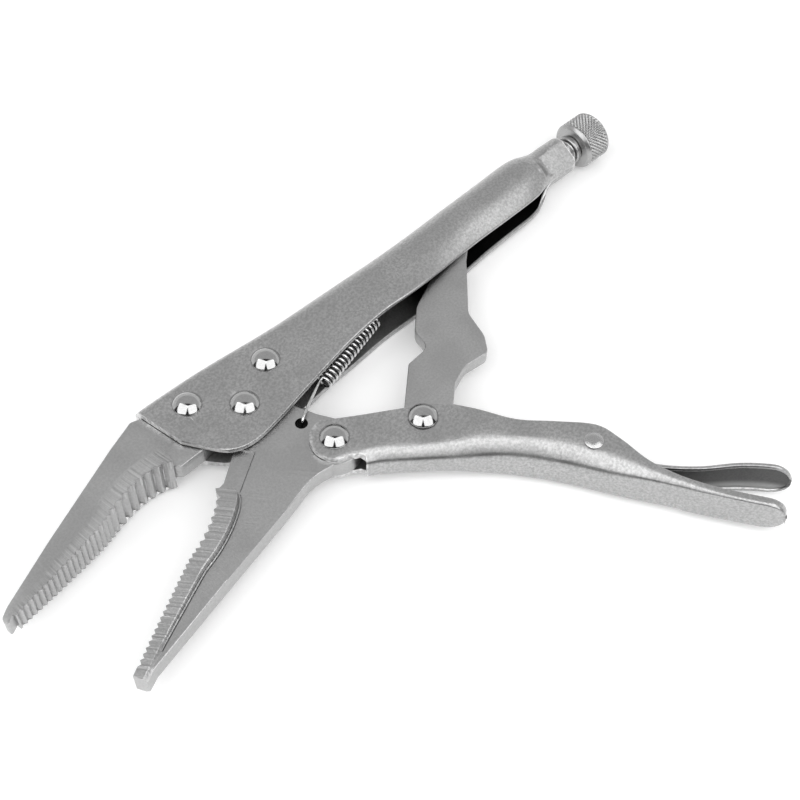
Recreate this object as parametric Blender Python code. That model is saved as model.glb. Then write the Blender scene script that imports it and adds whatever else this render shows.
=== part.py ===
"""Long-nose locking pliers, lying open on their side, as separate parts in their assembled places.

The design frame has its origin on the jaw pivot and z = 0 on the middle plane of the jaws: +X runs along
the upper handle to its adjusting screw, +Y to the fold of that handle, and +Z is the side that faces up.
Sizes are in millimetres and become metres when a mesh is made. FRAME_SHIFT moves the design frame to the
part's own frame, whose origin is the bottom centre of the whole tool.
"""

import math

import bmesh
import bpy
from mathutils import Vector

MM = 0.001
GAP = 0.3
FRAME_SHIFT = (-32.965, 49.841, 7.4)

# Pivots and fixed points in the design frame.
JAW_PIVOT = (0.0, 0.0)
FRONT_RIVET = (-11.2, 9.8)
REAR_RIVET = (13.2, 7.2)
HANDLE_PIVOT = (9.9, -23.8)
LINK_PIVOT = (30.9, -34.7)
LEVER_PIVOT = (56.4, -70.7)
LINK_END = (87.3, 9.3)
SPRING_HOLE = (7.4, -13.8)
SPRING_HOLE_RADIUS = 1.7
SCREW_Y = 9.5

# Thicknesses and half widths across the tool.
JAW_HALF = 2.7
SHEET = 1.7
CHEEK_HALF = JAW_HALF + GAP + SHEET
LINK_CHEEK_HALF = 5.0
LEVER_CHEEK_HALF = 6.75
HANDLE_HALF = 7.4
LINK_HALF = 2.2
LEVER_SHEET = 1.3
PLATE_CHAMFER = 0.25
RELIEF_DEPTH = 0.5
EAR_RADIUS = 6.3
POCKET_RADIUS = 7.5
HUB_RADIUS = 7.0

# Rivets: one shank size, with a domed head on top and a flat tail below.
RIVET_SHANK = 2.3
RIVET_HEAD = 3.95
RIVET_DOME = 1.7
RIVET_SIDES = 16
RIVET_BORE = RIVET_SHANK + GAP
TAIL_RADIUS = 3.4
TAIL_HEIGHT = 1.1
PIN_SHANK = 1.5
PIN_HEAD = 2.45
PIN_DOME = 0.7
PIN_TAIL = 0.25
BORE_REACH = 20.0
BORE_SIDES = 16

# Adjusting screw.
THREAD_RADIUS = 3.6
NECK_RADIUS = 5.6
NECK_END = 132.6
KNOB_START = 137.3
KNOB_END = 146.9
KNOB_RADIUS = 7.25
COLLAR_RADIUS = 4.4
COLLAR_START = 135.2
SCREW_TIP = 93.6

# Return spring.
COIL_RADIUS = 2.25
WIRE_RADIUS = 0.42
COIL_TURNS = 17
COIL_POINTS = 7
COIL_START = (21.6, -6.0)
COIL_END = (46.8, 1.0)
TAB_HOOK = [(50.5, 5.4, 2.9), (55.6, 8.0, 2.2), (57.0, 8.8, 0.6), (57.4, 10.0, -1.4)]

# How finely curves are cut: steps between stations and tooth tips, and the most degrees between arc points.
CURVE_STEPS = 2
TIP_STEPS = 8
CORNER_DEGREES = 22.5
ARC_DEGREES = 18


def make_material(name, colour, roughness, metallic=1.0):
    material = bpy.data.materials.new(name)
    material.use_nodes = True
    shader = material.node_tree.nodes["Principled BSDF"]
    shader.inputs["Base Color"].default_value = (*colour, 1.0)
    shader.inputs["Roughness"].default_value = roughness
    shader.inputs["Metallic"].default_value = metallic
    return material


def clear_scene():
    for obj in list(bpy.data.objects):
        bpy.data.objects.remove(obj)


def add_object(name, bm, material, pivot=(0.0, 0.0, 0.0)):
    """Makes an object of the design-frame mesh bm, with its origin at pivot."""
    bmesh.ops.recalc_face_normals(bm, faces=bm.faces)
    for vert in bm.verts:
        vert.co = (vert.co - Vector(pivot)) * MM
    mesh = bpy.data.meshes.new(name)
    bm.to_mesh(mesh)
    bm.free()
    mesh.shade_smooth()
    mesh.set_sharp_from_angle(angle=math.radians(35))
    if material:
        mesh.materials.append(material)
    obj = bpy.data.objects.new(name, mesh)
    obj.location = (Vector(pivot) + Vector(FRAME_SHIFT)) * MM
    bpy.context.scene.collection.objects.link(obj)
    return obj


def add_cutter(name, bm):
    cutter = add_object(name, bm, None)
    cutter.hide_render = True
    cutter.display_type = "WIRE"
    return cutter


def boolean(obj, other, operation):
    modifier = obj.modifiers.new(other.name, "BOOLEAN")
    modifier.operation = operation
    modifier.object = other


def rounded(corners):
    """The outline of a polygon whose corners (x, y, radius) are rounded off with arcs."""
    points = []
    count = len(corners)
    for i, (x, y, radius) in enumerate(corners):
        here = Vector((x, y))
        before = (Vector(corners[i - 1][:2]) - here).normalized()
        after = (Vector(corners[(i + 1) % count][:2]) - here).normalized()
        half = before.angle(after) / 2
        if radius <= 0 or half > math.radians(88):
            points.append((x, y))
            continue
        centre = here + (before + after).normalized() * radius / math.sin(half)
        start = here + before * radius / math.tan(half) - centre
        turn = start.angle_signed(here + after * radius / math.tan(half) - centre)
        steps = max(2, math.ceil(math.degrees(abs(turn)) / CORNER_DEGREES))
        for k in range(steps + 1):
            angle = -turn * k / steps
            points.append((
                centre.x + start.x * math.cos(angle) - start.y * math.sin(angle),
                centre.y + start.x * math.sin(angle) + start.y * math.cos(angle),
            ))
    return points


def prism(outline, low, high, chamfer=0.0):
    """A plate of the given outline between two heights, with its rims chamfered."""
    bm = bmesh.new()
    base = bm.faces.new([bm.verts.new((x, y, low)) for x, y in outline])
    top = bmesh.ops.extrude_face_region(bm, geom=[base])["geom"]
    for vert in top:
        if isinstance(vert, bmesh.types.BMVert):
            vert.co.z = high
    if chamfer:
        rims = [e for e in bm.edges if abs(e.verts[0].co.z - e.verts[1].co.z) < 1e-6]
        bmesh.ops.bevel(bm, geom=rims, offset=chamfer, segments=1, affect="EDGES")
    return bm


def cylinder(centre, radius, low, high, sides):
    """An upright cylinder."""
    turn = 2 * math.pi / sides
    ring = [
        (centre[0] + radius * math.cos(k * turn), centre[1] + radius * math.sin(k * turn))
        for k in range(sides)
    ]
    return prism(ring, low, high)


def drill(obj, bores):
    """Cuts upright round holes, each (name, centre, radius), through an object."""
    for name, centre, radius in bores:
        bore = cylinder(centre, radius, -BORE_REACH, BORE_REACH, BORE_SIDES)
        boolean(obj, add_cutter(obj.name + "_" + name, bore), "DIFFERENCE")


def smooth(stations, steps=CURVE_STEPS):
    """Catmull-Rom interpolation of the rows of a table, each row a tuple of numbers."""
    rows = []
    for i in range(len(stations) - 1):
        a, b = stations[max(i - 1, 0)], stations[i]
        c, d = stations[i + 1], stations[min(i + 2, len(stations) - 1)]
        for k in range(steps):
            t = k / steps
            rows.append(tuple(
                0.5 * (2 * q + (r - p) * t + (2 * p - 5 * q + 4 * r - s) * t**2
                       + (3 * q - p - 3 * r + s) * t**3)
                for p, q, r, s in zip(a, b, c, d)
            ))
    rows.append(tuple(float(v) for v in stations[-1]))
    return rows


def skin(rings):
    """A tube through rings of equally many points, and its rings of vertices for capping the ends."""
    bm = bmesh.new()
    loops = [[bm.verts.new(p) for p in ring] for ring in rings]
    count = len(loops[0])
    for near, far in zip(loops, loops[1:]):
        for k in range(count):
            bm.faces.new((near[k - 1], near[k], far[k], far[k - 1]))
    return bm, loops


def half_section(top, half_width, corner, depth, edge, curl):
    """Points (depth, z) of a channel's half section, from its free edge to the middle of its back."""
    room = depth - top
    corner = min(corner, 0.5 * room, 0.97 * half_width)
    curl = min(curl, room - corner - 0.08 * room)
    points = []
    for k in range(4):
        angle = math.radians(30 * k)
        points.append((
            depth - curl + curl * math.cos(angle),
            edge + (half_width - edge) * math.sin(angle),
        ))
    points.append(((depth - curl + top + corner) / 2, half_width))
    for k in range(5):
        angle = math.radians(22.5 * k)
        points.append((
            top + corner * (1 - math.sin(angle)),
            half_width - corner * (1 - math.cos(angle)),
        ))
    return points


def sheet_ring(width, corner, depth, edge, curl, sheet):
    """The section of a folded sheet: along its outside from one free edge to the other, and back inside."""
    bend = min(1.0, max(0.0, (width - edge) / sheet))
    outer = half_section(0.0, width, corner, depth, edge, curl)
    inner = half_section(
        sheet, width - sheet, max(corner - sheet, 0.3), depth - sheet * bend,
        edge - sheet * (1 - bend), max(curl - sheet * bend, 0.2),
    )
    outside = outer + [(d, -z) for d, z in reversed(outer)]
    inside = inner + [(d, -z) for d, z in reversed(inner)]
    return outside + inside[::-1]


def channel(stations, sheet, steps=CURVE_STEPS):
    """A folded sheet. Each station holds the back point, the free-edge point, the outer half width,
    the corner radius, the free edge's half spacing and the depth of its inward curl."""
    rings = []
    for back_x, back_y, edge_x, edge_y, width, corner, edge, curl in smooth(stations, steps):
        back = Vector((back_x, back_y))
        line = Vector((edge_x, edge_y)) - back
        down = line.normalized()
        ring = []
        half = min(width, HANDLE_HALF)
        for d, z in sheet_ring(half, corner, line.length, min(edge, half), curl, sheet):
            spot = back + down * d
            ring.append((spot.x, spot.y, z))
        rings.append(ring)
    bm, loops = skin(rings)
    for loop in (loops[0], loops[-1]):
        half = len(loop) // 2
        for k in range(half - 1):
            bm.faces.new((loop[k], loop[k + 1], loop[-2 - k], loop[-1 - k]))
    return bm


def turned(profile, centre, sides, along_x=False):
    """A closed turned body. The profile's points (radius, height) start and end on the axis."""
    bm = bmesh.new()
    rings = []
    for radius, height in profile:
        ring = []
        for k in range(sides if radius > 0 else 1):
            angle = 2 * math.pi * k / sides
            a, b = radius * math.cos(angle), radius * math.sin(angle)
            across = (centre[0] + a, centre[1] + b)
            ring.append(bm.verts.new((height, *across) if along_x else (*across, height)))
        rings.append(ring)
    for near, far in zip(rings, rings[1:]):
        for k in range(sides):
            corners = [near[k % len(near)], near[(k + 1) % len(near)],
                       far[(k + 1) % len(far)], far[k % len(far)]]
            bm.faces.new(list(dict.fromkeys(corners)))
    return bm


def arc(centre, radius, start, end):
    """Outline corners on an arc between two angles in degrees."""
    steps = max(2, math.ceil(abs(end - start) / ARC_DEGREES))
    corners = []
    for k in range(steps + 1):
        angle = math.radians(start + (end - start) * k / steps)
        corners.append((centre[0] + radius * math.cos(angle), centre[1] + radius * math.sin(angle), 0))
    return corners


def toothed_bar(tips, pitches, tooth, side, section):
    """A jaw's gripping bar. tips holds (x, y, half width) along the tips of its teeth, side is +1 or -1 for
    the side of that line on which the metal lies, and section(share, half) gives the section's points
    (depth, z) on the upper half, for a share of the way from the base to the nose's end."""
    rows = smooth(tips, TIP_STEPS)
    reach = [0.0]
    for a, b in zip(rows, rows[1:]):
        reach.append(reach[-1] + math.dist(a[:2], b[:2]))
    stops = [(0.0, 0.0)]
    place = 0.0
    for pitch in pitches:
        stops += [(place + 0.5 * pitch, 0.0), (place + pitch, tooth * pitch)]
        place += pitch
    stops += [(place + 0.5 * pitches[-1], 0.0), (reach[-1], 0.0)]
    rings = []
    for place, cut in stops:
        i = min(max(k for k, r in enumerate(reach) if r <= place + 1e-6), len(rows) - 2)
        share = (place - reach[i]) / (reach[i + 1] - reach[i])
        x, y, half = (a + (b - a) * share for a, b in zip(rows[i], rows[i + 1]))
        along = (Vector(rows[i + 1][:2]) - Vector(rows[i][:2])).normalized()
        inward = Vector((-along.y, along.x)) * side
        upper = section(place / reach[-1], half)
        upper[0] = (cut, upper[0][1])
        ring = []
        for d, z in upper + [(d, -z) for d, z in reversed(upper)]:
            ring.append((x + inward.x * d, y + inward.y * d, z))
        rings.append(ring)
    bm, loops = skin(rings)
    bm.faces.new(loops[0])
    bm.faces.new(loops[-1])
    return bm


def fixed_bar_section(share, half):
    """The bar narrows in a straight slope from its teeth into the plate."""
    return [(0.0, half), (7.5 - 4.3 * share, JAW_HALF - 0.3)]


def moving_bar_section(share, half):
    """The bar is a flat ledge with a drafted step down to the plate."""
    ledge = 5.3 - 2.7 * share
    return [(0.0, half), (ledge, half), (ledge + 1.2 - 0.7 * share, JAW_HALF - 0.3)]


FIXED_TIPS = [
    (-25.4, -2.5, 5.9), (-29.0, -1.4, 5.9), (-33.3, -1.1, 5.8), (-38.0, -1.6, 5.6), (-42.4, -2.7, 5.4),
    (-46.5, -4.1, 5.1), (-50.4, -5.3, 4.9), (-57.5, -6.8, 4.4), (-67.5, -8.6, 3.8), (-78.2, -10.4, 3.2),
]
MOVING_TIPS = [
    (-21.3, -13.9, 5.3), (-23.6, -17.6, 5.3), (-27.0, -20.5, 5.2), (-31.0, -23.0, 5.0), (-35.2, -25.0, 4.8),
    (-39.6, -26.6, 4.6), (-44.0, -28.8, 4.35), (-49.4, -31.6, 4.1), (-58.0, -36.1, 3.7), (-67.5, -41.3, 3.3),
]
COARSE = 2.55
FINE = 1.62
FIXED_PITCHES = [COARSE] * 8 + [FINE] * 20
MOVING_PITCHES = [COARSE * 0.92] * 8 + [FINE] * 20
TOOTH = 0.42


def inner_line(tips, side, distance):
    """Outline corners along the tooth line, moved a distance into the metal."""
    points = []
    for i, (x, y, _) in enumerate(tips):
        ahead, behind = tips[min(i + 1, len(tips) - 1)], tips[max(i - 1, 0)]
        along = Vector((ahead[0] - behind[0], ahead[1] - behind[1])).normalized()
        points.append((x - along.y * side * distance, y + along.x * side * distance, 0))
    return points


def add_fixed_jaw(material):
    outline = rounded([
        (-23.6, -3.2, 0.6), (-16.5, -2.95, 2), *arc(JAW_PIVOT, POCKET_RADIUS, 190, 20),
        (12.5, 1.2, 2), (19.6, 3.4, 3), (19.6, 13.4, 3), (-20.8, 15.3, 0.6), (-24.9, 16.6, 1.6),
        (-33.8, 13.0, 12), (-60.3, 1.6, 0), (-78.4, -6.6, 6), (-81.0, -8.4, 1.4), (-80.9, -10.9, 0.5),
        *inner_line(FIXED_TIPS, -1, 1.0)[::-1],
    ])
    jaw = add_object("fixed_jaw", prism(outline, -JAW_HALF, JAW_HALF, PLATE_CHAMFER), material)
    bar = toothed_bar(FIXED_TIPS, FIXED_PITCHES, TOOTH, -1, fixed_bar_section)
    boolean(jaw, add_cutter("fixed_jaw_teeth", bar), "UNION")
    drill(jaw, [("front_bore", FRONT_RIVET, RIVET_BORE), ("rear_bore", REAR_RIVET, RIVET_BORE)])
    return jaw


# The moving jaw's neck is cut back on both faces between its edge and this outline.
NECK_RELIEF = [(-9.4, -4.6, 0), (-5.9, -11.4, 0), (-7.7, -13.1, 0), (-17.9, -19.6, 0), (-24.0, -14.5, 0)]


def add_moving_jaw(material):
    pivot = (*JAW_PIVOT, 0.0)
    outline = rounded([
        (-64.4, -43.3, 0.4), (-35.8, -36.4, 0), (-12.0, -30.9, 30), (-1.0, -28.0, 16), (3.6, -28.9, 3),
        *arc(HANDLE_PIVOT, 7.2, 225, 400), (12.4, -14.2, 3), (9.9, -8.2, 3), (7.4, -4.6, 2),
        *arc(JAW_PIVOT, HUB_RADIUS, -20, 216), (-11.6, -9.0, 0), (-18.9, -14.2, 0),
        *inner_line(MOVING_TIPS, 1, 1.0),
    ])
    jaw = add_object("moving_jaw", prism(outline, -JAW_HALF, JAW_HALF, PLATE_CHAMFER), material, pivot)
    bar = toothed_bar(MOVING_TIPS, MOVING_PITCHES, TOOTH, 1, moving_bar_section)
    boolean(jaw, add_cutter("moving_jaw_teeth", bar), "UNION")
    for side in (-1, 1):
        relief = prism(rounded(NECK_RELIEF), *sorted((side * (JAW_HALF - RELIEF_DEPTH), side * 2 * JAW_HALF)))
        boolean(jaw, add_cutter("moving_jaw_relief_%d" % side, relief), "DIFFERENCE")
    drill(jaw, [
        ("pivot_bore", JAW_PIVOT, RIVET_BORE),
        ("handle_bore", HANDLE_PIVOT, RIVET_BORE),
        ("spring_hole", SPRING_HOLE, SPRING_HOLE_RADIUS),
    ])
    return jaw


UPPER_STATIONS = [
    (-22.4, 17.4, -19.2, 1.0, 4.7, 2.5, 4.7, 0.4),
    (-18.6, 17.6, -16.3, -4.0, 4.7, 2.6, 4.7, 0.4),
    (-13.0, 17.6, -11.9, -9.9, 4.7, 2.7, 4.7, 0.4),
    (-5.0, 17.5, -5.6, -11.7, 4.7, 2.8, 4.7, 0.4),
    (4.0, 17.1, 3.4, -9.9, 4.7, 3.0, 4.7, 0.4),
    (13.0, 16.4, 12.5, -7.6, 4.75, 3.2, 4.75, 0.4),
    (23.0, 15.7, 23.0, -5.5, 5.5, 4.2, 5.5, 0.5),
    (35.0, 15.2, 35.0, -3.9, 6.9, 5.6, 6.9, 0.6),
    (47.0, 14.9, 47.0, -2.7, 7.4, 6.4, 7.3, 1.0),
    (59.0, 14.7, 59.0, -2.7, 7.4, 6.8, 7.0, 1.6),
    (72.0, 14.9, 72.0, -2.0, 7.4, 6.9, 5.8, 3.0),
    (86.0, 15.6, 86.0, -0.8, 7.4, 7.0, 4.6, 4.0),
    (100.0, 16.2, 100.0, -0.5, 7.4, 7.0, 4.4, 4.2),
    (111.0, 16.8, 111.0, 0.0, 7.4, 7.0, 4.3, 4.4),
    (116.0, 16.7, 116.0, 1.2, 7.1, 6.8, 3.4, 4.8),
    (119.5, 15.9, 119.5, 2.9, 6.2, 6.0, 1.4, 4.6),
    (122.5, 15.2, 122.5, 3.8, 5.6, 5.5, 0.4, 5.3),
    (127.0, 15.2, 127.0, 3.8, 5.65, 5.5, 0.25, 5.3),
    (NECK_END, 15.1, NECK_END, 3.9, 5.6, 5.5, 0.25, 5.3),
]
LOWER_STATIONS = [
    (-1.2, -29.4, 6.0, -14.5, 4.7, 2.5, 4.7, 0.4),
    (12.2, -34.4, 17.2, -22.0, 4.7, 2.6, 4.7, 0.4),
    (20.6, -40.6, 27.2, -28.2, 4.7, 2.8, 4.7, 0.4),
    (28.4, -47.0, 36.6, -34.4, 4.9, 3.0, 4.9, 0.4),
    (34.0, -52.0, 41.8, -42.4, 5.9, 3.5, 5.9, 0.4),
    (39.6, -57.8, 46.8, -52.4, 6.6, 3.9, 6.6, 0.4),
    (44.6, -64.4, 54.0, -60.2, 6.75, 4.0, 6.75, 0.4),
    (49.4, -72.0, 60.6, -67.8, 6.75, 4.0, 6.75, 0.4),
    (53.6, -79.2, 61.9, -75.0, 6.75, 3.9, 6.75, 0.4),
    (58.0, -86.4, 62.2, -83.8, 6.6, 3.2, 6.6, 0.4),
    (62.0, -93.0, 64.4, -91.4, 6.2, 2.2, 6.2, 0.3),
    (66.0, -99.6, 67.9, -98.4, 5.7, 1.4, 5.7, 0.3),
    (70.2, -106.1, 72.0, -104.9, 5.4, 1.2, 5.4, 0.3),
    (73.8, -111.5, 75.6, -110.3, 5.2, 1.2, 5.2, 0.3),
    (76.2, -115.1, 78.0, -113.9, 4.3, 1.2, 4.3, 0.3),
    (77.7, -117.3, 79.5, -116.1, 2.2, 1.0, 2.2, 0.3),
]
# The tab inside the upper handle that holds the spring, and the outline that shortens its far cheek.
SPRING_TAB = [(58.4, 7.6, 0.8), (61.6, 7.6, 0.8), (61.6, 13.6, 0), (58.4, 13.6, 0)]
TAB_HALF = 1.1
FAR_CHEEK_TRIM = [
    (-26.0, 4.5, 0), (-19.9, 4.5, 0), (-16.4, -2.4, 6), (-12.2, -7.4, 6), (-6.0, -9.7, 8),
    (4.0, -8.5, 10), (14.0, -7.0, 0), (14.0, -16.0, 0), (-26.0, -16.0, 0),
]
LEVER_STATIONS = [
    (46.4, -52.8, 43.6, -55.2, 3.7, 1.6, 3.7, 0.3),
    (51.0, -58.6, 47.2, -61.7, 4.3, 1.8, 4.3, 0.3),
    (57.0, -65.6, 52.3, -68.8, 4.5, 2.0, 4.6, 0.3),
    (60.8, -72.0, 55.8, -75.1, 4.6, 2.0, 4.7, 0.3),
    (62.6, -79.0, 59.8, -80.9, 4.6, 1.9, 4.7, 0.3),
    (66.8, -86.7, 64.9, -88.4, 4.7, 1.2, 4.8, 0.3),
    (72.4, -93.3, 71.0, -95.0, 5.5, 1.0, 5.5, 0.3),
    (79.4, -99.1, 78.0, -100.8, 6.2, 1.0, 6.2, 0.3),
    (84.6, -104.2, 83.0, -105.7, 6.0, 1.0, 6.2, 0.3),
    (87.7, -108.3, 86.0, -109.6, 4.5, 1.0, 4.6, 0.3),
    (88.8, -110.5, 87.0, -111.6, 2.2, 1.0, 2.2, 0.3),
]


def add_upper_handle(material):
    handle = add_object("upper_handle", channel(UPPER_STATIONS, SHEET), material)
    tab = prism(rounded(SPRING_TAB), -TAB_HALF, TAB_HALF)
    boolean(handle, add_cutter("upper_handle_spring_tab", tab), "UNION")
    trim = prism(rounded(FAR_CHEEK_TRIM), -2 * CHEEK_HALF, -JAW_HALF)
    boolean(handle, add_cutter("upper_handle_far_trim", trim), "DIFFERENCE")
    drill(handle, [
        ("front_bore", FRONT_RIVET, RIVET_BORE),
        ("rear_bore", REAR_RIVET, RIVET_BORE),
        ("pivot_bore", JAW_PIVOT, RIVET_BORE),
    ])
    return handle


def add_lower_handle(material):
    pivot = (*HANDLE_PIVOT, 0.0)
    handle = add_object("lower_handle", channel(LOWER_STATIONS, SHEET), material, pivot)
    front = rounded([
        (-20.0, -70.0, 0), (11.2, -70.0, 0), (11.2, -33.6, 0), (9.7, -31.3, 0),
        *arc(HANDLE_PIVOT, EAR_RADIUS, 262, 62), (10.5, -8.0, 0), (-20.0, -8.0, 0),
    ])
    boolean(handle, add_cutter("lower_handle_front", prism(front, -BORE_REACH, BORE_REACH)), "DIFFERENCE")
    drill(handle, [
        ("pivot_bore", HANDLE_PIVOT, RIVET_BORE),
        ("link_bore", LINK_PIVOT, RIVET_BORE),
        ("lever_bore", LEVER_PIVOT, PIN_SHANK + GAP),
    ])
    return handle


def add_toggle_link(material):
    outline = rounded([
        *arc(LINK_PIVOT, 5.2, 133, 255), (35.0, -40.6, 4), (43.0, -34.2, 4), (46.4, -31.2, 4),
        (52.0, -29.0, 5), (60.2, -29.9, 2.6), (63.6, -25.2, 6), (66.0, -16.6, 6), (79.6, -2.2, 6),
        *arc(LINK_END, 4.0, -40, 128),
        (69.9, 0.6, 10), (57.0, -5.2, 8), (50.6, -11.2, 4), (49.5, -17.6, 3.2), (41.6, -18.2, 1.0),
    ])
    plate = prism(outline, -LINK_HALF, LINK_HALF, PLATE_CHAMFER)
    link = add_object("toggle_link", plate, material, (*LINK_PIVOT, 0.0))
    drill(link, [("pivot_bore", LINK_PIVOT, RIVET_BORE)])
    return link


def add_release_lever(material):
    pivot = (*LEVER_PIVOT, 0.0)
    lever = add_object("release_lever", channel(LEVER_STATIONS, LEVER_SHEET), material, pivot)
    drill(lever, [("pivot_bore", LEVER_PIVOT, PIN_SHANK + GAP)])
    return lever


def dome_profile(head, dome, shank, top, tail_radius, tail):
    """A rivet's profile: a dome above top, the shank, and a flat tail below -top."""
    points = [(0.0, top + dome)]
    for k in range(1, 5):
        angle = math.radians(20 * k)
        points.append((head * math.sin(angle) / math.sin(math.radians(80)), top + dome * math.cos(angle)))
    points += [(head, top), (shank, top), (shank, -top), (tail_radius, -top)]
    rim = 0.3 * tail
    points += [(tail_radius, -top - tail + rim), (tail_radius - rim, -top - tail), (0.0, -top - tail)]
    return points


def add_rivet(name, centre, cheek, material):
    profile = dome_profile(RIVET_HEAD, RIVET_DOME, RIVET_SHANK, cheek + GAP, TAIL_RADIUS, TAIL_HEIGHT)
    return add_object(name, turned(profile, centre, RIVET_SIDES), material, (*centre, 0.0))


def add_lever_pin(material):
    profile = dome_profile(PIN_HEAD, PIN_DOME, PIN_SHANK, LEVER_CHEEK_HALF + GAP, PIN_HEAD, PIN_TAIL)
    pin = turned(profile, LEVER_PIVOT, RIVET_SIDES)
    return add_object("release_lever_pin", pin, material, (*LEVER_PIVOT, 0.0))


def add_adjusting_screw(material):
    profile = [
        (0.0, SCREW_TIP), (2.6, SCREW_TIP), (THREAD_RADIUS, SCREW_TIP + 1.0), (THREAD_RADIUS, COLLAR_START),
        (COLLAR_RADIUS, COLLAR_START + 0.3), (COLLAR_RADIUS, KNOB_START - GAP), (0.0, KNOB_START - GAP),
    ]
    bm = turned(profile, (SCREW_Y, 0.0), 20, along_x=True)
    return add_object("adjusting_screw", bm, material, (KNOB_START, SCREW_Y, 0.0))


def add_adjusting_knob(material):
    rim = 0.9
    profile = [
        (0.0, KNOB_START), (KNOB_RADIUS - rim, KNOB_START), (KNOB_RADIUS, KNOB_START + rim),
        (KNOB_RADIUS, KNOB_END - rim), (KNOB_RADIUS - rim, KNOB_END), (0.0, KNOB_END),
    ]
    bm = turned(profile, (SCREW_Y, 0.0), 32, along_x=True)
    return add_object("adjusting_knob", bm, material, (KNOB_START, SCREW_Y, 0.0))


def spring_route():
    """The spring wire from its hook in the jaw, along the coil, to its loop round the handle's tab."""
    start, end = Vector((*COIL_START, 0.0)), Vector((*COIL_END, 0.0))
    along = (end - start).normalized()
    side, up = Vector((-along.y, along.x, 0.0)), Vector((0.0, 0.0, 1.0))
    top = JAW_HALF + GAP + WIRE_RADIUS
    hole = Vector((*SPRING_HOLE, 0.0))
    route = [hole + Vector((0.4, 0.2, -3.6)), hole + Vector((0.3, 0.1, 1.5)), hole + Vector((0.9, 0.3, top))]
    stops = COIL_TURNS * COIL_POINTS
    for k in range(stops + 1):
        angle = math.radians(90) + 2 * math.pi * k / COIL_POINTS
        centre = start + (end - start) * k / stops
        route.append(centre + side * COIL_RADIUS * math.cos(angle) + up * COIL_RADIUS * math.sin(angle))
    route += [Vector(spot) for spot in TAB_HOOK]
    return route


def add_return_spring(material):
    pivot = Vector((*SPRING_HOLE, 0.0))
    curve = bpy.data.curves.new("return_spring", "CURVE")
    curve.dimensions = "3D"
    curve.bevel_depth = WIRE_RADIUS * MM
    curve.bevel_resolution = 1
    curve.use_fill_caps = True
    route = spring_route()
    spline = curve.splines.new("POLY")
    spline.points.add(len(route) - 1)
    for point, spot in zip(spline.points, route):
        point.co = (*((spot - pivot) * MM), 1.0)
    curve.materials.append(material)
    spring = bpy.data.objects.new("return_spring", curve)
    spring.location = (pivot + Vector(FRAME_SHIFT)) * MM
    bpy.context.scene.collection.objects.link(spring)
    return spring


def main():
    clear_scene()
    plated = make_material("satin_plated_sheet", (0.46, 0.47, 0.48), 0.36)
    forged = make_material("satin_forged_steel", (0.36, 0.36, 0.36), 0.45)
    polished = make_material("polished_rivet_steel", (0.62, 0.62, 0.62), 0.12)
    knurled = make_material("plated_screw_steel", (0.48, 0.48, 0.48), 0.32)
    wire = make_material("bright_spring_wire", (0.58, 0.58, 0.58), 0.2)
    add_upper_handle(plated)
    add_fixed_jaw(forged)
    add_moving_jaw(forged)
    add_lower_handle(plated)
    add_toggle_link(forged)
    add_release_lever(plated)
    add_rivet("jaw_rivet_front", FRONT_RIVET, CHEEK_HALF, polished)
    add_rivet("jaw_rivet_rear", REAR_RIVET, CHEEK_HALF, polished)
    add_rivet("jaw_pivot_rivet", JAW_PIVOT, CHEEK_HALF, polished)
    add_rivet("handle_pivot_rivet", HANDLE_PIVOT, CHEEK_HALF, polished)
    add_rivet("link_pivot_rivet", LINK_PIVOT, LINK_CHEEK_HALF, polished)
    add_lever_pin(plated)
    add_adjusting_screw(knurled)
    add_adjusting_knob(knurled)
    add_return_spring(wire)


main()
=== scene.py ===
"""The looks of the long-nose locking pliers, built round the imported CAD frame.

Sizes are millimetres in the design frame: its origin is on the jaw pivot at the middle of the jaws, +X
runs along the upper handle to its screw, +Y to the fold of that handle, and +Z up. make_object takes them
to the CAD frame's metres.
"""

import math

import bmesh
import bpy
from mathutils import Matrix, Vector


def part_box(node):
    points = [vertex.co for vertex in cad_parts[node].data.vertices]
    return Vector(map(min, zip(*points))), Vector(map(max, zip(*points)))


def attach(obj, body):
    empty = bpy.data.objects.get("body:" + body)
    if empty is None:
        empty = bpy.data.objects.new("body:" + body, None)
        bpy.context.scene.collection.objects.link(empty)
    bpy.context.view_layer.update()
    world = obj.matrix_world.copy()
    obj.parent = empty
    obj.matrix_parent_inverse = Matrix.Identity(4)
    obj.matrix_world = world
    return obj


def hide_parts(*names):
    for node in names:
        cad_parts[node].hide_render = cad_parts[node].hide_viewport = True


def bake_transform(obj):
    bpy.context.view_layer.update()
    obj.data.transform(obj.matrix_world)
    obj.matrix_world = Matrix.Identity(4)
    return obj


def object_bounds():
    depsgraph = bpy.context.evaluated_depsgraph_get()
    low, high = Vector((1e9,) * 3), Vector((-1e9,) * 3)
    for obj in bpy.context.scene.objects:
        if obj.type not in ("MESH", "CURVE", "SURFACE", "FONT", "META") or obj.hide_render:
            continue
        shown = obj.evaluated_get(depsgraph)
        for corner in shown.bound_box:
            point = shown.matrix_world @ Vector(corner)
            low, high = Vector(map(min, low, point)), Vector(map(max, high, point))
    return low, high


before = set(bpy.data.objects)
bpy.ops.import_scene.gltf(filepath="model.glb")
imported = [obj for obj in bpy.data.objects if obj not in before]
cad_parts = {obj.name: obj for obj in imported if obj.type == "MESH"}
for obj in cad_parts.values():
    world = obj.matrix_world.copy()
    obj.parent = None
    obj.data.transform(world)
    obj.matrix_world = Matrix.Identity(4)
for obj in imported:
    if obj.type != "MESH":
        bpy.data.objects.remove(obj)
CAD_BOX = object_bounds()

MM = 0.001


def box_centre(node):
    low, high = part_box(node)
    return (low + high) / 2


ORIGIN = Vector((*box_centre("jaw_pivot_rivet").xy, box_centre("fixed_jaw").z))


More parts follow.
